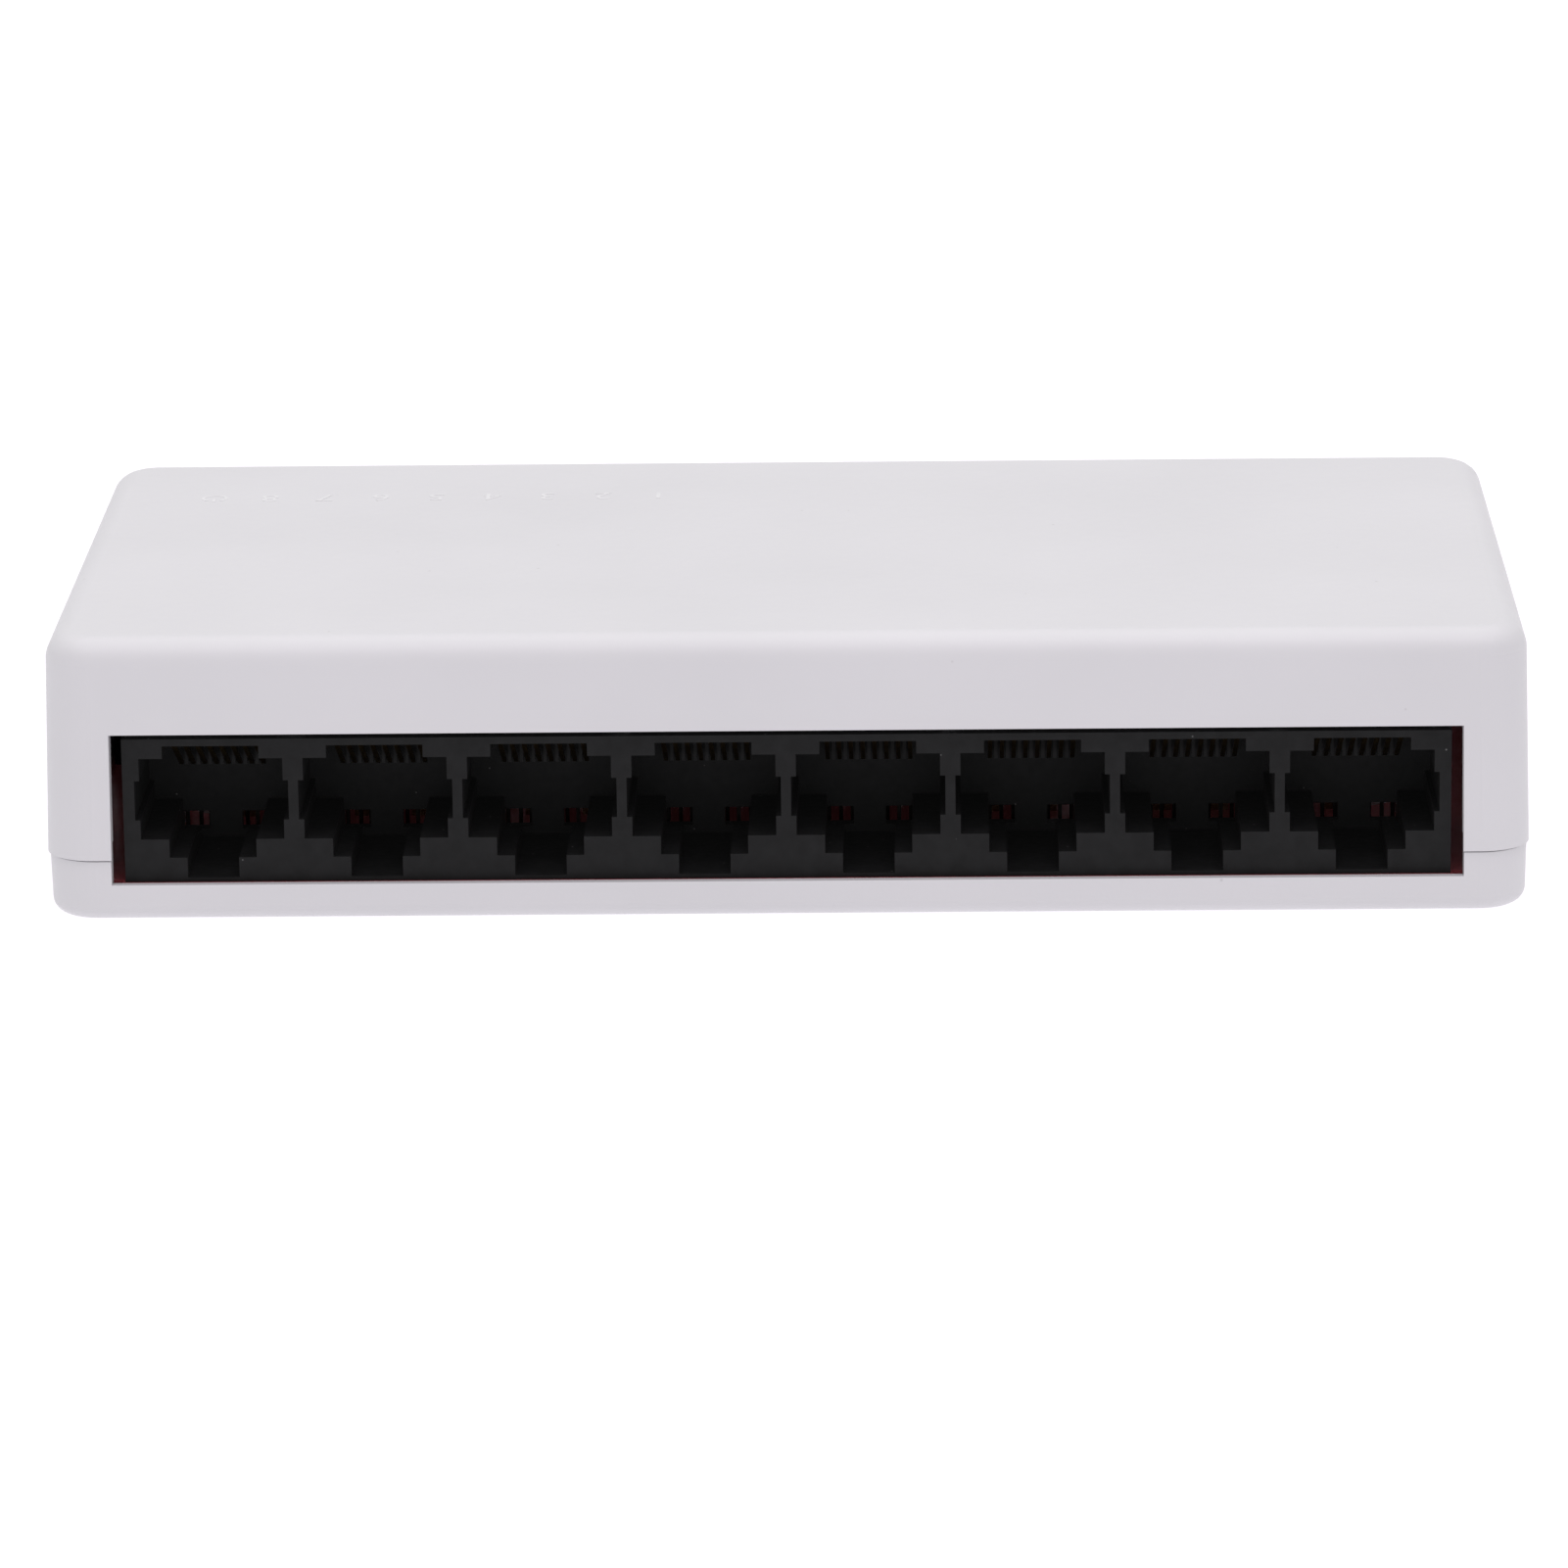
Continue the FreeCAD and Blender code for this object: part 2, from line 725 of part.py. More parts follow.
def port_outline():
    """Corners of a socket's mouth, from the latch slot up, mirrored about its middle."""
    right = [
        ("dim.latch_width", "dim.latch_floor"),
        ("dim.latch_width", "dim.latch_step"),
        ("dim.step_width", "dim.latch_step"),
        ("dim.step_width", "dim.port_floor"),
        ("dim.port_width", "dim.port_floor"),
        ("dim.port_width", "dim.notch_floor"),
        ("dim.notch_width", "dim.notch_floor"),
        ("dim.notch_width", "dim.notch_top"),
        ("dim.port_width", "dim.notch_top"),
        ("dim.port_width", "dim.port_top"),
        ("dim.comb_width", "dim.port_top"),
        ("dim.comb_width", "dim.comb_top"),
    ]
    heights = [(f"({width}) / 2", f"{JACK_FLOOR} + {up}") for width, up in right]
    return heights + [(f"-{x}", z) for x, z in reversed(heights)]


def socket_cutters(k):
    """The hollow of one socket: mouth, comb channel, insert pocket and the two small rear windows."""
    x = port_x(k)
    back_wall = "-dim.jack_front - dim.port_depth"
    mouth_length = "dim.port_depth + dim.cut_past"
    mouth = extruded(f"mouth_{k}", "XZ_Plane", back_wall, mouth_length, port_outline())
    place(mouth, x, 0, 0)
    rear = "(dim.jack_front + dim.jack_depth)"
    channel_h = "dim.comb_top - dim.port_top"
    rear_y = f"{rear} + dim.cut_past - dim.rear_cut / 2"
    channel_size = ("dim.comb_width", "dim.rear_cut", channel_h)
    channel = block(f"channel_{k}", x, rear_y, f"{JACK_FLOOR} + dim.port_top", *channel_size)
    pocket = block(
        f"pocket_{k}",
        x,
        f"{rear} - dim.insert_depth / 2",
        f"{JACK_FLOOR} + dim.insert_floor - dim.insert_gap",
        "dim.insert_width + 2 * dim.insert_gap",
        "dim.insert_depth + 2 * dim.insert_gap",
        "dim.comb_top - dim.insert_floor + dim.insert_gap",
    )
    lead_y = f"{rear} - dim.lead_way_setback"
    depth = "dim.lead_way_depth"
    lead_way = block(f"lead_way_{k}", x, lead_y, JACK_FLOOR, "dim.comb_width", depth, "dim.insert_floor")
    peeps = []
    for side in (-1, 1):
        peep_x = f"{x} + {side} * dim.peep_offset"
        peep_z = f"{JACK_FLOOR} + dim.peep_floor"
        peep_size = ("dim.peep_width", "dim.rear_cut", "dim.peep_height")
        peeps.append(block(f"peep_{k}_{side + 1}", peep_x, rear_y, peep_z, *peep_size))
    return fuse(f"socket_{k}", [mouth, channel, pocket, lead_way] + peeps)


def comb_fins(k):
    """Thin walls under an insert's tongue that keep the free ends of its contacts apart."""
    fins = []
    y = "dim.jack_front + dim.port_depth - dim.insert_gap - dim.comb_fin_depth / 2"
    bottom = f"{JACK_FLOOR} + dim.comb_fin_floor"
    height = "dim.bend_height - dim.comb_fin_floor"
    for j in range(int(number("dim.contacts")) - 1):
        x = f"{port_x(k)} + {row_place(j, '(dim.contacts - 1)', 'dim.contact_pitch')}"
        fins.append(block(f"fin_{k}_{j}", x, y, bottom, "dim.comb_fin_thick", "dim.comb_fin_depth", height))
    return fins


def jack_housing():
    """One moulded housing for the whole row of sockets, with pegs that locate it on the board."""
    middle = "dim.jack_front + dim.jack_depth / 2"
    blank = block("jack_blank", 0, middle, JACK_FLOOR, "dim.jack_width", "dim.jack_depth", "dim.jack_height")
    count = int(number("dim.ports"))
    bored = cut("jack_bored", blank, [socket_cutters(k) for k in range(count)])
    pegs = []
    bottom = f"{JACK_FLOOR} - dim.peg_length"
    length = "dim.peg_length + dim.latch_floor"
    y = "dim.jack_front + dim.peg_setback"
    for k in range(int(number("dim.stops"))):
        pegs.append(rod(f"jack_peg_{k}", stop_x(k), y, bottom, "dim.peg_radius", length))
    keep(fuse("jack", [bored] + pegs), "rj45_housing")


def contact_places():
    """X of each contact from the middle of its socket."""
    count = int(number("dim.contacts"))
    pitch = number("dim.contact_pitch")
    return [(j - (count - 1) / 2) * pitch for j in range(count)]


def bend_centre():
    """Where every contact turns over the insert's nose, as Y and Z."""
    y = number("dim.jack_front + dim.bend_depth")
    z = number(f"{JACK_FLOOR} + dim.bend_height")
    return y, z


def strip(outline, x):
    """A flat wire: an outline in the YZ plane, made as wide as the wire about x."""
    width = number("dim.wire_width")
    face = Part.Face(outline)
    face.translate(FreeCAD.Vector(x - width / 2, 0, 0))
    return face.extrude(FreeCAD.Vector(width, 0, 0))


def at_angle(centre, radius, degrees):
    angle = math.radians(degrees)
    return FreeCAD.Vector(0, centre[0] + radius * math.cos(angle), centre[1] + radius * math.sin(angle))


def spring_outline():
    """Front bend and the blade that slopes down into the socket."""
    centre = bend_centre()
    inner = number("dim.bend_radius")
    outer = inner + number("dim.wire_thick")
    slope = number("dim.blade_slope")
    start, end = 100, 270 - slope
    middle = (start + end) / 2
    lean = math.radians(slope)
    reach = FreeCAD.Vector(0, math.cos(lean), -math.sin(lean)) * number("dim.blade_length")
    points = {r: [at_angle(centre, r, a) for a in (start, middle, end)] for r in (inner, outer)}
    edges = [
        Part.Arc(*points[outer]).toShape(),
        Part.LineSegment(points[outer][2], points[outer][2] + reach).toShape(),
        Part.LineSegment(points[outer][2] + reach, points[inner][2] + reach).toShape(),
        Part.LineSegment(points[inner][2] + reach, points[inner][2]).toShape(),
        Part.Arc(*reversed(points[inner])).toShape(),
        Part.LineSegment(points[inner][0], points[outer][0]).toShape(),
    ]
    return Part.Wire(edges)


def tail_outline(row):
    """The fixed end of a contact: back over the insert's tongue, then down through the board."""
    centre = bend_centre()
    low = centre[1] + number("dim.bend_radius")
    top = low + number("dim.wire_thick")
    thick = number("dim.wire_thick")
    back = number("dim.jack_front + dim.tail_setback") + row * number("dim.tail_stagger")
    foot = number("dim.board_bottom - dim.tail_below_board")
    corners = [
        (centre[0], low),
        (back, low),
        (back, foot),
        (back + thick, foot),
        (back + thick, top),
        (centre[0], top),
    ]
    return Part.makePolygon([FreeCAD.Vector(0, y, z) for y, z in corners + corners[:1]])


def contacts_and_inserts():
    """For each socket: springs that a plug lifts, their fixed tails, and the insert that holds them."""
    rear = "(dim.jack_front + dim.jack_depth)"
    spring = spring_outline()
    tails = [tail_outline(row) for row in (0, 1)]
    for k in range(int(number("dim.ports"))):
        middle = number(port_x(k))
        places = [middle + x for x in contact_places()]
        springs = Part.makeCompound([strip(spring, x) for x in places])
        fixed = Part.makeCompound([strip(tails[j % 2], x) for j, x in enumerate(places)])
        keep(from_shape(f"springs_{k + 1}", springs), f"contact_springs_{k + 1}")
        tail = keep(from_shape(f"tails_{k + 1}", fixed), f"contact_tails_{k + 1}")
        x = port_x(k)
        carrier = block(
            f"carrier_{k}",
            x,
            f"{rear} - dim.insert_depth / 2",
            f"{JACK_FLOOR} + dim.insert_floor",
            "dim.insert_width",
            "dim.insert_depth",
            "dim.insert_top - dim.insert_floor",
        )
        nose_y = "(dim.jack_front + dim.bend_depth)"
        tongue_length = f"({rear} - dim.insert_depth - {nose_y} + dim.tongue_root)"
        tongue = block(
            f"tongue_{k}",
            x,
            f"{nose_y} + {tongue_length} / 2",
            f"{JACK_FLOOR} + dim.bend_height - dim.tongue_thick / 2",
            "dim.comb_width - 2 * dim.insert_gap",
            tongue_length,
            "dim.tongue_thick",
        )
        nose = rod(
            f"nose_{k}",
            f"{x} - dim.comb_width / 2 + dim.insert_gap",
            nose_y,
            f"{JACK_FLOOR} + dim.bend_height",
            "dim.tongue_thick / 2",
            "dim.comb_width - 2 * dim.insert_gap",
            "+X",
        )
        solid = fuse(f"insert_solid_{k}", [carrier, tongue, nose] + comb_fins(k))
        keep(cut(f"insert_{k}", solid, [tail]), f"contact_insert_{k + 1}")


# ---------------------------------------------------------------- board

def board():
    """The circuit board, drilled for every lead, peg, locator and front screw."""
    half = "dim.board_width / 2"
    tongue = "dim.board_tongue_width / 2"
    corner = "dim.board_corner"
    right = [
        (tongue, "dim.board_nose"),
        (tongue, "dim.board_front"),
        (f"{half} - {corner}", "dim.board_front"),
        (half, f"dim.board_front + {corner}"),
        (half, "dim.board_rear"),
    ]
    outline = right + [(f"-({x})", y) for x, y in reversed(right)]
    blank = extruded("board_blank", "XY_Plane", "dim.board_bottom", "dim.board_thick", outline)
    low = number("dim.board_bottom - dim.cut_past")
    thick = number("dim.board_thick + 2 * dim.cut_past")

    def drill(x, y, radius):
        return Part.makeCylinder(number(radius), thick, FreeCAD.Vector(number(x), number(y), low))

    holes = []
    for k in range(int(number("dim.ports"))):
        for j, x in enumerate(contact_places()):
            tail_y = f"dim.jack_front + dim.tail_setback + dim.wire_thick / 2 + {j % 2} * dim.tail_stagger"
            holes.append(drill(f"{port_x(k)} + ({x})", tail_y, "dim.lead_hole"))
    for k in range(int(number("dim.stops"))):
        holes.append(drill(stop_x(k), "dim.jack_front + dim.peg_setback", "dim.peg_radius + dim.peg_slack"))
    for x, y in LOCATORS:
        holes.append(drill(x, y, "dim.locator_radius + dim.locator_slack"))
    for side in (-1, 1):
        x = f"{side} * dim.screw_front_x"
        holes.append(drill(x, "dim.screw_front_y", "dim.screw_hole + dim.screw_slack"))
    for x, y in inlet_tags():
        holes.append(drill(x, y, "dim.tag_hole"))
    drills = from_shape("board_drills", Part.makeCompound(holes))
    item = doc.addObject("Part::Cut", "board_drilled")
    item.Base = blank
    item.Tool = drills
    keep(item, "circuit_board")


def inlet_tags():
    """Places of the power inlet's two solder tags."""
    back = "dim.inlet_face + dim.inlet_length"
    return [
        (f"{back} - dim.inlet_tag_setback", "dim.inlet_y"),
        (f"{back} - dim.inlet_leaf_tail", "dim.inlet_y + dim.inlet_leaf_offset"),
    ]


def power_inlet():
    """Barrel inlet: moulded body, centre pin and the spring that touches the plug's sleeve."""
    axis = f"({BOARD_TOP} + dim.inlet_axis)"
    face = "dim.inlet_face"
    y = "dim.inlet_y"
    length = "(dim.inlet_length - dim.inlet_back)"
    middle = f"{face} + {length} / 2"
    body = block("inlet_body", middle, y, BOARD_TOP, length, "dim.inlet_width", "dim.inlet_height")
    bore_depth = "dim.inlet_bore_depth + dim.cut_past"
    mouth = rod("inlet_mouth", f"{face} - dim.cut_past", y, axis, "dim.inlet_bore", bore_depth, "+X")
    neck_hole = rod("inlet_neck_hole", face, y, axis, "dim.inlet_neck", "dim.inlet_length", "+X")
    leaf_x = f"{face} + dim.inlet_slot_x"
    leaf_y = "dim.inlet_y + dim.inlet_leaf_offset"
    slot_size = ("dim.inlet_slot_length", "dim.inlet_slot_width", "dim.inlet_slot_height")
    leaf_slot = block("inlet_leaf_slot", leaf_x, leaf_y, BOARD_TOP, *slot_size)
    keep(cut("inlet", body, [fuse("inlet_hollows", [mouth, neck_hole, leaf_slot])]), "dc_jack_body")

    (tag_x, tag_y), (tail_x, tail_y) = inlet_tags()
    pin_start = f"{face} + dim.inlet_pin_recess"
    pin_length = "dim.inlet_bore_depth - dim.inlet_pin_recess"
    pin = rod("inlet_pin_rod", pin_start, y, axis, "dim.inlet_pin", pin_length, "+X")
    neck_length = "dim.inlet_length - dim.inlet_pin_recess - dim.inlet_tag_setback"
    neck = rod("inlet_pin_neck", pin_start, y, axis, "dim.inlet_neck", neck_length, "+X")
    lead_end = "(dim.board_bottom - dim.tail_below_board)"
    tag_height = f"{axis} - {lead_end} + dim.inlet_pin"
    tag_size = ("dim.inlet_tag_thick", "dim.inlet_tag_width", tag_height)
    tag = block("inlet_pin_tag", tag_x, tag_y, lead_end, *tag_size)
    keep(fuse("inlet_pin", [pin, neck, tag]), "dc_jack_pin")

    thick = "dim.inlet_leaf_thick"
    leaf_foot = f"({BOARD_TOP} + dim.inlet_leaf_foot)"
    leaf_size = ("dim.inlet_leaf_length", thick, "dim.inlet_leaf_height")
    leaf = block("inlet_leaf", leaf_x, leaf_y, leaf_foot, *leaf_size)
    tail_height = f"{leaf_foot} - {lead_end} + dim.overlap"
    tail = block("inlet_leaf_tail", tail_x, tail_y, lead_end, "dim.inlet_leaf_tail_width", thick, tail_height)
    keep(fuse("inlet_spring", [leaf, tail]), "dc_jack_spring")


def gull_lead(direction, kind):
    """One gull-wing lead that leaves the origin along a direction and steps down to the board."""
    reach, width, lift = kind["reach"], kind["width"], kind["lift"]
    corners = [
        (0, lift),
        (reach * 0.35, lift),
        (reach * 0.55, LEAD_THICK),
        (reach, LEAD_THICK),
        (reach, 0),
        (reach * 0.45, 0),
        (reach * 0.25, lift - LEAD_THICK),
        (0, lift - LEAD_THICK),
    ]
    ring = Part.makePolygon([FreeCAD.Vector(x, -width / 2, z) for x, z in corners + corners[:1]])
    lead = Part.Face(ring).extrude(FreeCAD.Vector(0, width, 0))
    lead.rotate(FreeCAD.Vector(), FreeCAD.Vector(0, 0, 1), direction)
    return lead


def row_of_leads(centre, direction, half, count, kind):
    """Leads in a row along one side of a package whose middle is half away from that side."""
    angle = math.radians(direction)
    out = FreeCAD.Vector(math.cos(angle), math.sin(angle), 0)
    along = FreeCAD.Vector(-math.sin(angle), math.cos(angle), 0)
    foot = FreeCAD.Vector(*centre, number(BOARD_TOP)) + out * half
    leads = []
    for k in range(count):
        lead = gull_lead(direction, kind)
        lead.translate(foot + along * ((k - (count - 1) / 2) * kind["pitch"]))
        leads.append(lead)
    return leads


def magnetics():
    """Four isolation transformer modules behind the sockets, each with two rows of leads."""
    leads = []
    y = "dim.magnetics_y"
    size = ("dim.magnetics_length", "dim.magnetics_width", "dim.magnetics_height")
    per_side = int(number("dim.magnetics_side_leads"))
    for k in range(int(number("dim.magnetics_count"))):
        x = row_place(k, "dim.magnetics_count", "dim.magnetics_pitch")
        module = block(f"magnetics_block_{k}", x, y, f"{BOARD_TOP} + dim.magnetics_lift", *size)
        keep(module, f"magnetics_{k + 1}")
        for direction in (90, 270):
            half = number("dim.magnetics_width / 2")
            leads += row_of_leads((number(x), number(y)), direction, half, per_side, MAGNETICS_LEAD)
    keep(from_shape("magnetics_leads_shape", Part.makeCompound(leads)), "magnetics_leads")


def switch_chip():
    """The switch controller, a square flat pack with leads on four sides."""
    x, y = "dim.chip_x", "dim.chip_y"
    lift = f"{BOARD_TOP} + dim.chip_lift"
    size = ("dim.chip_side", "dim.chip_side", "dim.chip_height")
    keep(block("chip_block", x, y, lift, *size), "switch_chip")
    leads = []
    per_side = int(number("dim.chip_side_leads"))
    for direction in (0, 90, 180, 270):
        half = number("dim.chip_side / 2")
        leads += row_of_leads((number(x), number(y)), direction, half, per_side, CHIP_LEAD)
    keep(from_shape("chip_leads_shape", Part.makeCompound(leads)), "switch_chip_leads")


def regulator():
    """Voltage regulator with three legs in front and a wide tab behind."""
    x, y = "dim.regulator_x", "dim.regulator_y"
    size = ("dim.regulator_length", "dim.regulator_width", "dim.regulator_height")
    keep(block("regulator_block", x, y, f"{BOARD_TOP} + dim.chip_lift", *size), "regulator")
    leg = ("dim.leg_width", "dim.leg_length", "dim.leg_thick")
    metal = []
    for k in range(3):
        leg_x = f"{x} + {row_place(k, 3, 'dim.leg_pitch')}"
        metal.append(block(f"regulator_leg_{k}", leg_x, f"{y} - dim.leg_out", BOARD_TOP, *leg))
    tab = ("dim.tab_length", "dim.leg_length", "dim.leg_thick")
    metal.append(block("regulator_tab", x, f"{y} + dim.leg_out", BOARD_TOP, *tab))
    keep(group("regulator_metal", metal), "regulator_leads")


def inductor_and_capacitors():
    """The power inductor and two bulk capacitors, between the inlet and the regulator."""
    side = "dim.inductor_side"
    coil = block("coil", "dim.inductor_x", "dim.inductor_y", BOARD_TOP, side, side, "dim.inductor_height")
    soft = doc.addObject("Part::Fillet", "inductor_round")
    soft.Base = coil
    doc.recompute()
    upright = [k for k, e in enumerate(coil.Shape.Edges, 1) if abs(e.Vertexes[0].Z - e.Vertexes[1].Z) > 1]
    radius = number("dim.inductor_corner")
    soft.Edges = [(k, radius, radius) for k in upright]
    keep(soft, "power_inductor")

    cans = []
    bases = []
    side = "dim.can_base"
    for k in range(int(number("dim.can_count"))):
        x = f"dim.can_first_x + {k} * dim.can_pitch"
        foot = f"{BOARD_TOP} + dim.can_base_height"
        cans.append(rod(f"can_{k}", x, "dim.can_y", foot, "dim.can_radius", "dim.can_height"))
        bases.append(block(f"can_base_{k}", x, "dim.can_y", BOARD_TOP, side, side, "dim.can_base_height"))
    keep(group("cans", cans), "capacitor_cans")
    keep(group("can_bases", bases), "capacitor_bases")


def crystal():
    """The clock crystal: an oval metal can on a flat foot."""
    x, y = "dim.crystal_x", "dim.crystal_y"
    foot = f"{BOARD_TOP} + dim.crystal_plate_thick"
    span, width, height = "dim.crystal_span", "dim.crystal_width", "dim.crystal_height"
    can = block("crystal_block", x, y, foot, span, width, height)
    ends = []
    for side in (-1, 1):
        end_x = f"{x} + {side} * {span} / 2"
        ends.append(rod(f"crystal_end_{side + 1}", end_x, y, foot, f"{width} / 2", height))
    plate_size = ("dim.crystal_plate_length", "dim.crystal_plate_width", "dim.crystal_plate_thick")
    plate = block("crystal_plate", x, y, BOARD_TOP, *plate_size)
    keep(fuse("crystal_can", [can, plate] + ends), "crystal")


def chip_rows():
    """Small surface-mount parts: capacitors in a row behind the sockets, resistors by the controller."""
    caps = []
    cap_size = ("dim.cap_length", "dim.cap_width", "dim.cap_height")
    for k in range(int(number("dim.cap_count"))):
        x = row_place(k, "dim.cap_count", "dim.cap_pitch")
        caps.append(block(f"chip_cap_{k}", x, "dim.cap_y", BOARD_TOP, *cap_size))
    resistors = []
    resistor_size = ("dim.resistor_width", "dim.resistor_length", "dim.resistor_height")
    for row in range(int(number("dim.resistor_rows"))):
        y = f"dim.resistor_y + {row} * dim.resistor_row_pitch"
        for k in range(int(number("dim.resistor_columns"))):
            x = f"dim.resistor_x + {k} * dim.resistor_column_pitch"
            resistors.append(block(f"chip_resistor_{row}_{k}", x, y, BOARD_TOP, *resistor_size))
    keep(group("chip_caps", caps), "chip_capacitors")
    keep(group("chip_resistors_group", resistors), "chip_resistors")


def indicators():
    """Nine small lamps on the board and the clear guide that carries their light to the roof."""
    lamps = []
    posts = []
    y = "dim.light_y"
    lamp_size = ("dim.lamp_length", "dim.lamp_width", "dim.lamp_height")
    post_foot = f"({BOARD_TOP} + dim.guide_lift)"
    height = f"(dim.case_top - dim.light_skin - dim.guide_gap) - {post_foot}"
    post_size = ("dim.light_width", "dim.light_length", height)
    for k in range(int(number("dim.lights"))):
        lamps.append(block(f"lamp_{k}", light_x(k), y, BOARD_TOP, *lamp_size))
        posts.append(block(f"guide_post_{k}", light_x(k), y, post_foot, *post_size))
    middle = light_x("(dim.lights - 1) / 2")
    side = "dim.guide_bar_size"
    bar_length = "(dim.lights - 1) * dim.light_pitch + dim.guide_bar_past"
    bar_foot = f"{ROOF_BOTTOM} - {side} - dim.guide_bar_drop"
    bar = block("guide_bar", middle, y, bar_foot, bar_length, side, side)
    keep(group("lamps", lamps), "status_leds")
    keep(fuse("guide", posts + [bar]), "light_guide")


def check_and_write():
    """Stops on any failed object or unsound shape, then writes one file for each sub-part."""
    doc.recompute()
    for item in doc.Objects:
        if "Invalid" in item.State or "Error" in item.State:
            raise RuntimeError(f"{item.Name}: {item.State}")
    for item in nodes:
        if item.Shape.isNull() or not item.Shape.isValid() or not item.Shape.Solids:
            raise RuntimeError(f"{item.Label}: unsound shape")
    os.makedirs("parts", exist_ok=True)
    for item in nodes:
        item.Shape.exportStep(os.path.join("parts", f"{item.Label}.step"))
        print(item.Label, len(item.Shape.Solids), round(item.Shape.Volume, 1))
    print(len(nodes), "sub-parts")


fill_sheet()
top_shell()
base_shell()
feet()
screws()
jack_housing()
contacts_and_inserts()
board()
power_inlet()
magnetics()
switch_chip()
regulator()
inductor_and_capacitors()
crystal()
chip_rows()
indicators()
check_and_write()
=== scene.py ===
import json
import math

import bmesh
import bpy
from mathutils import Matrix, Vector


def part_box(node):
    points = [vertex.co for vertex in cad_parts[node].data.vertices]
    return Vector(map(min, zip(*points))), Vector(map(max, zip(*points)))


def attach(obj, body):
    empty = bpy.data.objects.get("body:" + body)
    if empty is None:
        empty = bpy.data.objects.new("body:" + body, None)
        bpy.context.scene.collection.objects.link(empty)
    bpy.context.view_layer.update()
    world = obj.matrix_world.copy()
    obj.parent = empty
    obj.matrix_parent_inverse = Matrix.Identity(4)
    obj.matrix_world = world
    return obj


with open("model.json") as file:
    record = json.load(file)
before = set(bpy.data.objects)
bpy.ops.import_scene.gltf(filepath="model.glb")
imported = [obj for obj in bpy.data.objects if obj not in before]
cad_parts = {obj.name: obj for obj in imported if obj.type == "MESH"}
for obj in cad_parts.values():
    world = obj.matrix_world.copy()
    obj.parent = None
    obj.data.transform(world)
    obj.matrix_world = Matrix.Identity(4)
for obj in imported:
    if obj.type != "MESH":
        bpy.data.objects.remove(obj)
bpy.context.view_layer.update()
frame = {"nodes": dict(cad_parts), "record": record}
nodes = frame["nodes"]
scene = bpy.context.scene
MM = 0.001


# ---------------------------------------------------------------- camera, light and floor

def add_camera():
    """A long lens a little above the sockets, turned slightly to the right and rolled a touch."""
    azimuth, elevation, roll = (math.radians(a) for a in (1.193, 15.31, -0.732))
    target = Vector((-0.79, -2.0, 4.23)) * MM
    distance = 706.7 * MM
    level = math.cos(elevation)
    out = Vector((math.sin(azimuth) * level, -math.cos(azimuth) * level, math.sin(elevation)))
    data = bpy.data.cameras.new("camera")
    data.sensor_width = 36
    data.lens = 182.5
    data.clip_start = 0.01
    camera = bpy.data.objects.new("camera", data)
    look = (-out).to_track_quat("-Z", "Y").to_matrix().to_4x4()
    turn = look @ Matrix.Rotation(roll, 4, "Z")
    camera.matrix_world = Matrix.Translation(target + out * distance) @ turn
    scene.collection.objects.link(camera)
    scene.camera = camera


def add_light(name, place, size, power, tint=(1, 1, 1), target=(0, 0, 0.012)):
    """A square soft box that faces the object."""
    data = bpy.data.lights.new(name, "AREA")
    data.color = tint
    data.shape = "SQUARE"
    data.size = size
    data.energy = power
    lamp = bpy.data.objects.new(name, data)
    lamp.location = place
    lamp.rotation_euler = (Vector(target) - Vector(place)).to_track_quat("-Z", "Y").to_euler()
    scene.collection.objects.link(lamp)


def add_studio():
    """Even daylight, two soft boxes, and a pale paper floor that glows, so that it stays white."""
    world = bpy.data.worlds.new("studio")
    world.use_nodes = True
    world.node_tree.nodes["Background"].inputs["Color"].default_value = (1, 1, 1, 1)
    world.node_tree.nodes["Background"].inputs["Strength"].default_value = 0.62
    scene.world = world
    add_light("top_box", (0.0, 0.05, 0.9), 1.2, 6.0)
    add_light("front_box", (0.1, -0.6, 0.95), 0.8, 1.9, (1.0, 0.82, 1.0))
    scene.view_settings.view_transform = "Standard"
    mesh = bpy.data.meshes.new("floor")
    side = 6.0
    corners = [(-side, -side, 0), (side, -side, 0), (side, side, 0), (-side, side, 0)]
    mesh.from_pydata(corners, [], [(0, 1, 2, 3)])
    floor = bpy.data.objects.new("floor", mesh)
    scene.collection.objects.link(floor)
    paper = bpy.data.materials.new("paper")
    paper.use_nodes = True
    shader = paper.node_tree.nodes["Principled BSDF"]
    shader.inputs["Base Color"].default_value = (0.15, 0.15, 0.15, 1)
    shader.inputs["Roughness"].default_value = 0.9
    shader.inputs["Emission Color"].default_value = (0.98, 0.95, 1, 1)
    shader.inputs["Emission Strength"].default_value = 0.95
    mesh.materials.append(paper)


# ---------------------------------------------------------------- materials

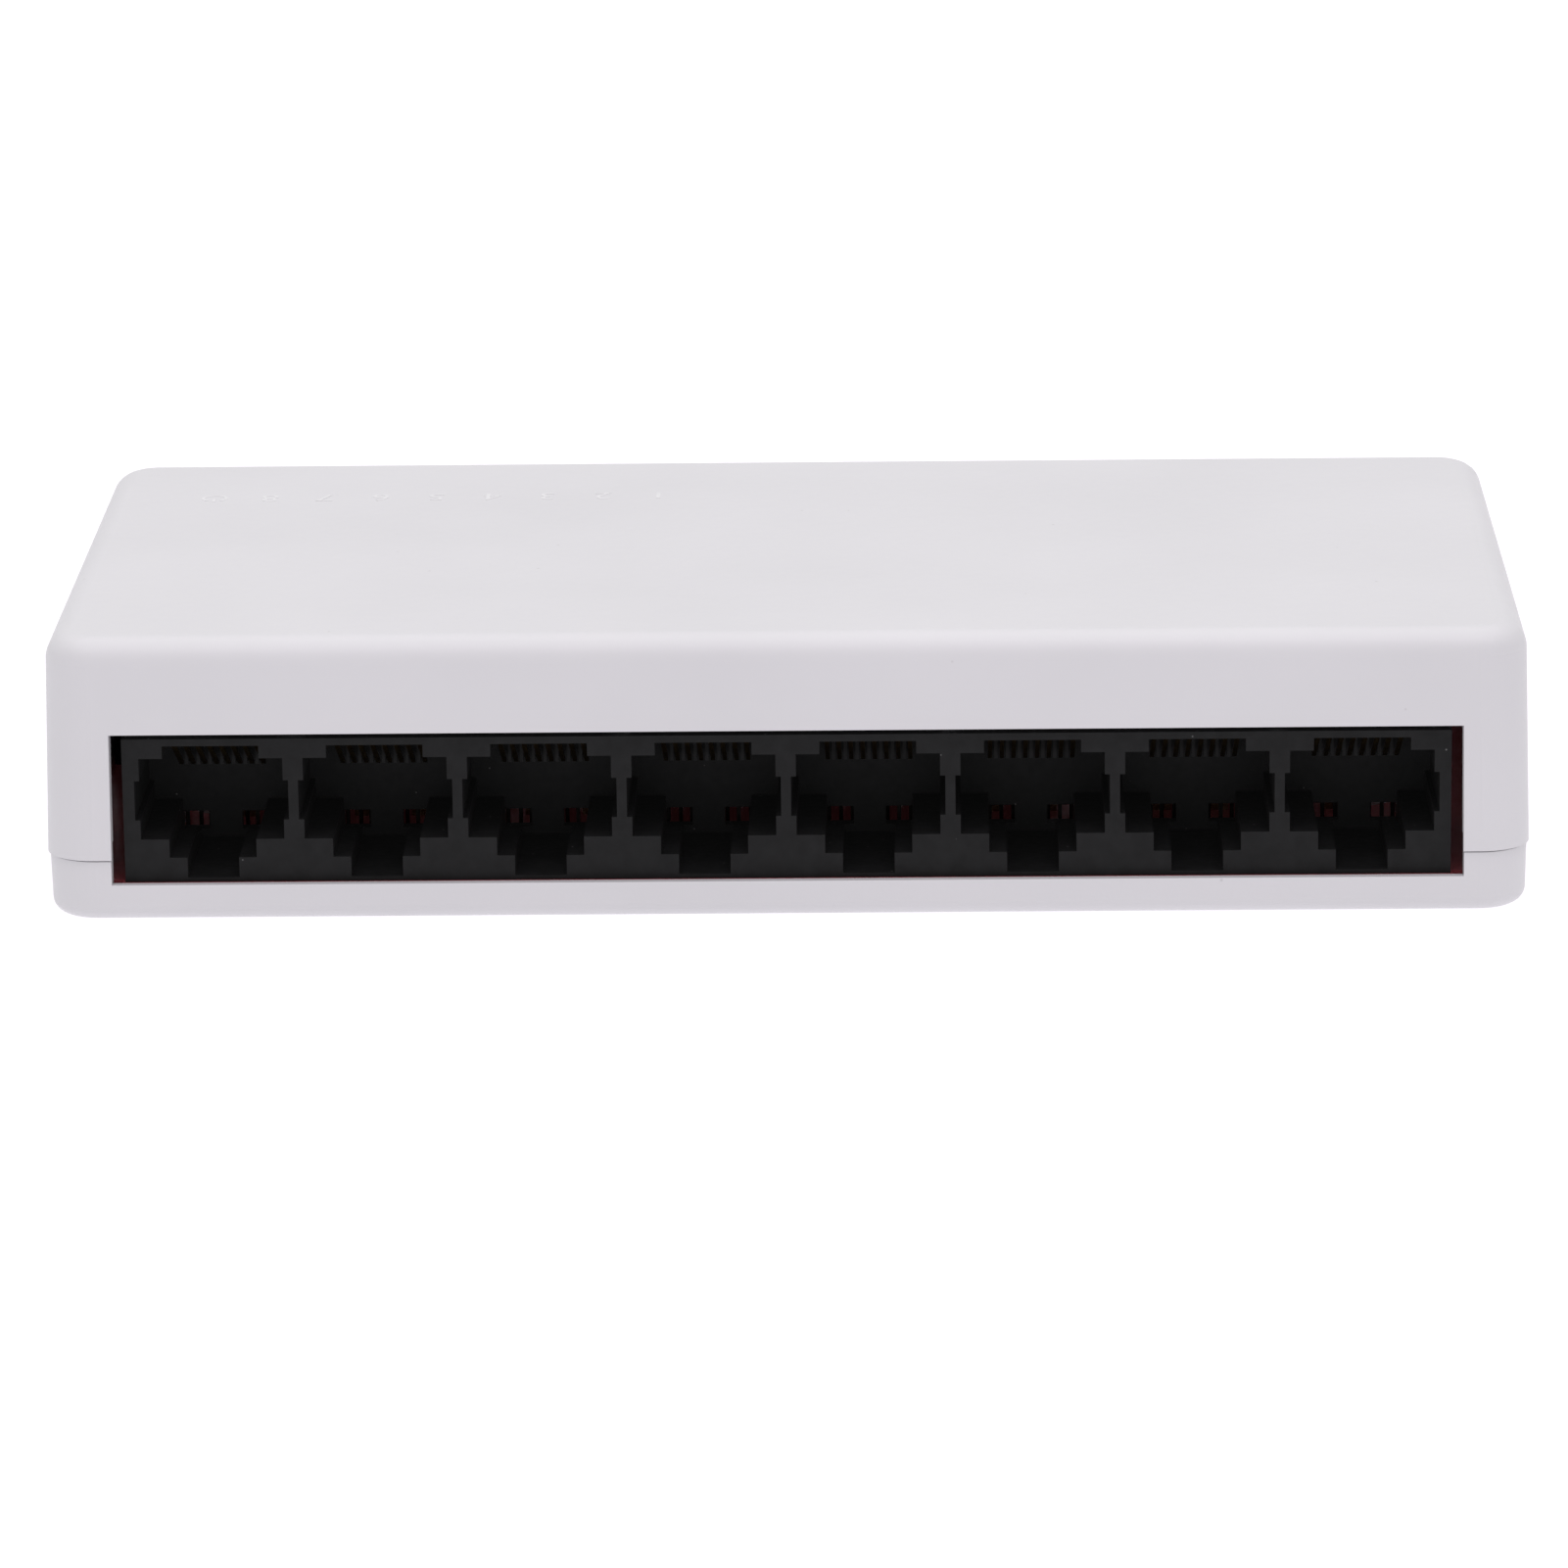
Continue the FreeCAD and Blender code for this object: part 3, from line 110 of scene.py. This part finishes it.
class Surface:
    """A Principled material whose colour, roughness and relief come from noise in object space."""

    def __init__(self, name, roughness, **sockets):
        self.material = bpy.data.materials.new(name)
        self.material.use_nodes = True
        self.tree = self.material.node_tree
        self.shader = self.tree.nodes["Principled BSDF"]
        self.shader.inputs["Roughness"].default_value = roughness
        for socket, value in sockets.items():
            self.shader.inputs[socket.replace("_", " ")].default_value = value
        self.place = self.tree.nodes.new("ShaderNodeTexCoord").outputs["Object"]
        self.bump = None

    def noise(self, scale, detail=3.0, stretch=None):
        node = self.tree.nodes.new("ShaderNodeTexNoise")
        node.inputs["Scale"].default_value = scale
        node.inputs["Detail"].default_value = detail
        self.tree.links.new(self.stretched(stretch), node.inputs["Vector"])
        return node.outputs["Fac"]

    def cells(self, scale, stretch=None):
        node = self.tree.nodes.new("ShaderNodeTexVoronoi")
        node.inputs["Scale"].default_value = scale
        self.tree.links.new(self.stretched(stretch), node.inputs["Vector"])
        return node.outputs["Distance"]

    def stretched(self, stretch):
        if not stretch:
            return self.place
        node = self.tree.nodes.new("ShaderNodeMapping")
        node.inputs["Scale"].default_value = stretch
        self.tree.links.new(self.place, node.inputs["Vector"])
        return node.outputs["Vector"]

    def ramp(self, source, stops):
        """Colours along a 0 to 1 value: stops are (position, colour)."""
        node = self.tree.nodes.new("ShaderNodeValToRGB")
        points = node.color_ramp.elements
        while len(points) < len(stops):
            points.new(0.5)
        for point, (position, colour) in zip(points, stops):
            point.position = position
            point.color = (*colour, 1)
        self.tree.links.new(source, node.inputs["Fac"])
        return node.outputs["Color"]

    def level(self, source, low, high):
        node = self.tree.nodes.new("ShaderNodeMapRange")
        node.inputs["To Min"].default_value = low
        node.inputs["To Max"].default_value = high
        self.tree.links.new(source, node.inputs["Value"])
        return node.outputs["Result"]

    def glow(self, colour, strength):
        self.shader.inputs["Emission Color"].default_value = (*colour, 1)
        self.shader.inputs["Emission Strength"].default_value = strength

    def mix(self, first, second, share, kind="MIX"):
        node = self.tree.nodes.new("ShaderNodeMix")
        node.data_type = "RGBA"
        node.blend_type = kind
        pairs = ((first, node.inputs[6]), (second, node.inputs[7]), (share, node.inputs[0]))
        for value, socket in pairs:
            if isinstance(value, (tuple, float)):
                socket.default_value = (*value, 1) if isinstance(value, tuple) else value
            else:
                self.tree.links.new(value, socket)
        return node.outputs[2]

    def colour(self, source):
        self.tree.links.new(source, self.shader.inputs["Base Color"])

    def rough(self, source, low, high):
        self.tree.links.new(self.level(source, low, high), self.shader.inputs["Roughness"])

    def relief(self, source, depth, strength=1.0):
        """Adds a height of depth metres to the surface."""
        node = self.tree.nodes.new("ShaderNodeBump")
        node.inputs["Strength"].default_value = strength
        node.inputs["Distance"].default_value = depth
        self.tree.links.new(source, node.inputs["Height"])
        if self.bump:
            self.tree.links.new(self.bump, node.inputs["Normal"])
        self.bump = node.outputs["Normal"]
        self.tree.links.new(self.bump, self.shader.inputs["Normal"])


def shell_plastic():
    """Off-white ABS with a fine spark-eroded grain and faint clouding."""
    skin = Surface("shell_plastic", 0.42, Specular_IOR_Level=0.42)
    cloud = skin.noise(38, 4)
    tone = skin.ramp(cloud, [(0.3, (0.622, 0.618, 0.634)), (0.7, (0.648, 0.643, 0.660))])
    specks = skin.ramp(skin.cells(200), [(0.012, (0.78, 0.77, 0.76)), (0.035, (1, 1, 1))])
    skin.colour(skin.mix(tone, specks, 0.8, "MULTIPLY"))
    skin.rough(skin.noise(900, 2), 0.36, 0.50)
    skin.relief(skin.noise(2600, 2), 0.00002, 0.35)
    skin.relief(skin.noise(55, 1), 0.00008, 0.10)
    return skin.material


def black_plastic(name, low, high, roughness, painted_stray_glow=0.0):
    """Glass-filled black nylon: dull, with a fine mottle and a few dust specks.

    Its last argument is a painted glow: painted light that stands in for the stray light keeping deep
    corners from pure black."""
    skin = Surface(name, roughness, Specular_IOR_Level=0.16)
    skin.glow((1, 1, 1), painted_stray_glow)
    tone = skin.ramp(skin.noise(700, 5), [(0.35, low), (0.7, high)])
    dust = skin.ramp(skin.cells(430), [(0.012, (0.16, 0.16, 0.16)), (0.045, (0, 0, 0))])
    skin.colour(skin.mix(tone, dust, 1.0, "ADD"))
    skin.rough(skin.noise(1500, 3), roughness - 0.08, roughness + 0.1)
    skin.relief(skin.noise(1800, 3), 0.00003, 0.5)
    return skin.material


def solder_mask():
    """Dark red board lacquer over copper tracks that show as slightly raised, lighter lines.

    Its faint glow is the daylight that the thin off-white case lets through."""
    skin = Surface("solder_mask", 0.3, Coat_Weight=0.4, Coat_Roughness=0.15)
    skin.glow((1.0, 0.26, 0.28), 0.0065)
    tracks = skin.cells(260, (1.0, 0.22, 1.0))
    lines = skin.ramp(tracks, [(0.30, (0.19, 0.030, 0.037)), (0.36, (0.27, 0.046, 0.056))])
    cloud = skin.ramp(skin.noise(90, 3), [(0.3, (0.85, 0.85, 0.85)), (0.7, (1, 1, 1))])
    skin.colour(skin.mix(lines, cloud, 1.0, "MULTIPLY"))
    skin.rough(skin.noise(600, 2), 0.25, 0.42)
    skin.relief(tracks, 0.00003, 0.4)
    return skin.material


def metal(name, low, high, roughness, grain=(1, 1, 1), metallic=1.0):
    """A plated or drawn metal with fine marks along its length."""
    skin = Surface(name, roughness, Metallic=metallic)
    skin.colour(skin.ramp(skin.noise(1400, 3, grain), [(0.3, low), (0.72, high)]))
    skin.rough(skin.noise(2200, 2, grain), roughness - 0.07, roughness + 0.12)
    skin.relief(skin.noise(2600, 2, grain), 0.00001, 0.4)
    return skin.material


def dull(name, low, high, roughness, scale=900, relief=0.00003):
    """Moulded epoxy, ceramic, ferrite or rubber: a fine two-tone mottle with matching relief."""
    skin = Surface(name, roughness, Specular_IOR_Level=0.4)
    skin.colour(skin.ramp(skin.noise(scale, 4), [(0.32, low), (0.68, high)]))
    skin.rough(skin.noise(scale * 1.7, 2), roughness - 0.08, roughness + 0.08)
    skin.relief(skin.noise(scale * 2, 3), relief, 0.5)
    return skin.material


def clear_plastic():
    """Clear acrylic, slightly clouded where the moulding froze."""
    skin = Surface("clear_plastic", 0.12, IOR=1.49, Transmission_Weight=0.85)
    skin.colour(skin.ramp(skin.noise(160, 3), [(0.3, (0.86, 0.90, 0.90)), (0.7, (0.95, 0.97, 0.97))]))
    skin.rough(skin.noise(300, 2), 0.08, 0.2)
    skin.relief(skin.noise(240, 2), 0.00002, 0.3)
    return skin.material


def lamp_resin():
    """Pale yellowish resin of an unlit indicator lamp."""
    skin = Surface("lamp_resin", 0.35)
    skin.colour(skin.ramp(skin.noise(1300, 3), [(0.3, (0.66, 0.64, 0.42)), (0.7, (0.80, 0.79, 0.60))]))
    skin.relief(skin.noise(1500, 2), 0.00002, 0.4)
    return skin.material


def make_materials():
    """One material for each material slot of the record."""
    # Painted light: a faint glow on the socket blacks stands in for stray light in their deep corners.
    painted_stray_glow = 0.0016
    jack_low, jack_high = (0.0060, 0.0061, 0.0063), (0.0094, 0.0096, 0.0100)
    insert_low, insert_high = (0.018, 0.018, 0.019), (0.028, 0.028, 0.029)
    steel_low, steel_high = (0.46, 0.46, 0.45), (0.66, 0.66, 0.64)
    return {
        "shell": shell_plastic(),
        "board": solder_mask(),
        "jack": black_plastic("jack_plastic", jack_low, jack_high, 0.5, painted_stray_glow),
        "insert": black_plastic("insert_plastic", insert_low, insert_high, 0.55, painted_stray_glow),
        "inlet": black_plastic("inlet_plastic", (0.010, 0.010, 0.010), (0.018, 0.018, 0.019), 0.42),
        # Partly the dull gold flash, partly painted shade: the spring gold is darkened well below real
        # gold for the shade deep inside the sockets.
        "gilt": metal("shade_darkened_gilt_wire", (0.12, 0.082, 0.034), (0.20, 0.14, 0.06), 0.34, (1, 0.15, 1)),
        # Painted shade: the tin-plated contact tails are coloured near black, for the shade behind the
        # sockets' rear walls.
        "tail": metal("shade_darkened_tail_wire", (0.022, 0.019, 0.018), (0.05, 0.045, 0.042), 0.55),
        "tinned": metal("tinned_lead", steel_low, steel_high, 0.32),
        "screw": metal("zinc_plate", (0.40, 0.41, 0.42), (0.60, 0.61, 0.62), 0.3),
        "can": metal("drawn_can", (0.60, 0.60, 0.61), (0.74, 0.74, 0.75), 0.3, (1, 1, 0.1)),
        "crystal_can": metal("plated_can", (0.50, 0.50, 0.49), (0.66, 0.66, 0.64), 0.26),
        "foot": dull("foot_rubber", (0.012, 0.012, 0.0125), (0.028, 0.028, 0.029), 0.78, 1100, 0.00006),
        "package": dull("package_epoxy", (0.012, 0.012, 0.013), (0.026, 0.026, 0.028), 0.6),
        "ferrite": dull("ferrite", (0.026, 0.026, 0.028), (0.055, 0.054, 0.055), 0.7, 700, 0.00005),
        "ceramic": dull("ceramic", (0.30, 0.20, 0.115), (0.42, 0.29, 0.18), 0.5, 1600),
        "resistor": dull("glazed_ceramic", (0.016, 0.016, 0.020), (0.034, 0.034, 0.040), 0.3, 1600),
        "clear": clear_plastic(),
        "lamp": lamp_resin(),
    }


def dress_nodes(materials):
    """Gives every CAD node the material of its slot."""
    slot_of = {part["node"]: part["material_slot"] for part in frame["record"]["subparts"]}
    for name, node in nodes.items():
        node.data.materials.clear()
        node.data.materials.append(materials[slot_of[name]])


# ---------------------------------------------------------------- added pieces

def add_piece(name, mesh, material, body="case"):
    """A visible piece that rides on a body."""
    piece = bpy.data.objects.new(name, mesh)
    scene.collection.objects.link(piece)
    mesh.materials.clear()
    mesh.materials.append(material)
    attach(piece, body)
    return piece


def mark_plastic():
    """The ink of the printed marks: a touch whiter than the shell."""
    skin = Surface("mark_ink", 0.5, Specular_IOR_Level=0.35)
    low, high = (0.672, 0.670, 0.680), (0.715, 0.713, 0.722)
    skin.colour(skin.ramp(skin.noise(1500, 3), [(0.3, low), (0.7, high)]))
    skin.rough(skin.noise(1200, 2), 0.42, 0.56)
    return skin.material


def lamp_places():
    """Middles of the indicator lamps as seen on the roof, from left to right."""
    count = 9
    low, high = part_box("status_leds")
    half = 0.8 * MM
    pitch = (high.x - low.x - 2 * half) / (count - 1)
    y = (low.y + high.y) / 2
    return [(low.x + half + k * pitch, y) for k in range(count)]


def add_numerals(ink):
    """Printed numerals 1 to 8 on the roof over the lamps, read from behind the sockets."""
    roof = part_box("top_shell")[1].z
    for value, (x, y) in zip(range(8, 0, -1), lamp_places()[1:]):
        curve = bpy.data.curves.new(f"numeral_{value}", "FONT")
        curve.body = str(value)
        curve.size = 3.4 * MM
        curve.extrude = 0.03 * MM
        curve.align_x = "CENTER"
        curve.align_y = "CENTER"
        text = bpy.data.objects.new(curve.name, curve)
        text.matrix_world = Matrix.Translation((x, y, roof)) @ Matrix.Rotation(math.pi, 4, "Z")
        scene.collection.objects.link(text)
        bpy.context.view_layer.update()
        mesh = bpy.data.meshes.new_from_object(text.evaluated_get(bpy.context.evaluated_depsgraph_get()))
        mesh.transform(text.matrix_world)
        bpy.data.objects.remove(text)
        mesh.name = f"numeral_{value}"
        add_piece(mesh.name, mesh, ink)


def prism(outlines, bottom, top):
    """A mesh of upright prisms, one for each closed outline of (x, y) points."""
    form = bmesh.new()
    for outline in outlines:
        low = [form.verts.new((x, y, bottom)) for x, y in outline]
        high = [form.verts.new((x, y, top)) for x, y in outline]
        form.faces.new(list(reversed(low)))
        form.faces.new(high)
        for k in range(len(outline)):
            after = (k + 1) % len(outline)
            form.faces.new((low[k], low[after], high[after], high[k]))
    bmesh.ops.recalc_face_normals(form, faces=form.faces)
    mesh = bpy.data.meshes.new("prism")
    form.to_mesh(mesh)
    form.free()
    return mesh


def rectangle(x, y, width, depth):
    return [(x + a * width / 2, y + b * depth / 2) for a, b in ((-1, -1), (1, -1), (1, 1), (-1, 1))]


def arc(x, y, radius, start, end, steps):
    angles = [math.radians(start + (end - start) * k / steps) for k in range(steps + 1)]
    return [(x + radius * math.cos(a), y + radius * math.sin(a)) for a in angles]


def add_power_mark(ink):
    """Printed power symbol over the first lamp: an open ring with a bar in its gap."""
    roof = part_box("top_shell")[1].z
    x, y = lamp_places()[0]
    outer, inner = 1.2 * MM, 0.92 * MM
    ring = arc(x, y, outer, -58, 238, 40) + list(reversed(arc(x, y, inner, -58, 238, 40)))
    bar = rectangle(x, y - 0.8 * MM, 0.28 * MM, 1.2 * MM)
    mesh = prism([ring, bar], roof - 0.02 * MM, roof + 0.03 * MM)
    mesh.name = "power_mark"
    add_piece("power_mark", mesh, ink)


add_camera()
add_studio()
materials = make_materials()
dress_nodes(materials)
ink = mark_plastic()
add_numerals(ink)
add_power_mark(ink)
